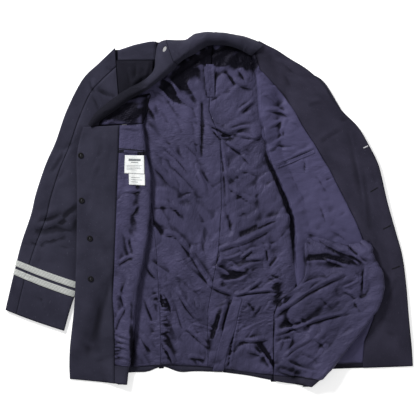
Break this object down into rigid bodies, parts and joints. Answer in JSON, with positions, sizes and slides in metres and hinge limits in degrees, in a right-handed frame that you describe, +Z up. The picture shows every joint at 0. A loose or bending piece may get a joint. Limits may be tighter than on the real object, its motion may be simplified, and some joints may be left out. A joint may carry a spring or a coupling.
{
  "type": "dress uniform jacket",
  "caption": "Single-breasted dark dress uniform jacket laid open on its back, satin lining up, braided cuffs, right lapel rolled.",
  "frame": {"origin": "centre of the bounding box's underside, on the surface the jacket lies on", "axes": "+Z up from the surface, +Y towards the collar, +X towards the wearer's left"},
  "size_m": [0.9798, 0.8517, 0.0409],
  "materials": {
    "wool": "matte wool serge",
    "braid": "woven silver-grey braid",
    "button": "dark metal",
    "label": "woven label",
    "lining": "satin lining"
  },
  "bodies": {
    "root": {"back_left": "wool", "back_right": "wool", "braid_left_lower": "braid", "braid_left_upper": "braid", "braid_right_lower": "braid", "braid_right_upper": "braid", "button_1": "button", "button_2": "button", "button_3": "button", "button_4": "button", "facing_left": "wool", "facing_right": "wool", "front_left": "wool", "front_right": "wool", "front_right_shoulder": "wool", "label_lower": "label", "label_upper": "label", "lapel_right": "wool", "lining_armhole_right": "lining", "lining_back_left": "lining", "lining_back_right": "lining", "lining_front_left": "lining", "lining_front_right": "lining", "lining_side_left": "lining", "lining_side_right": "lining", "lining_vent": "lining", "side_left": "wool", "side_right": "wool", "sleeve_left_top": "wool", "sleeve_left_under": "wool", "sleeve_right_top": "wool", "sleeve_right_under": "wool", "top_collar": "wool", "under_collar": "wool", "welt_left": "lining", "welt_right": "lining"}
  },
  "joints": []
}
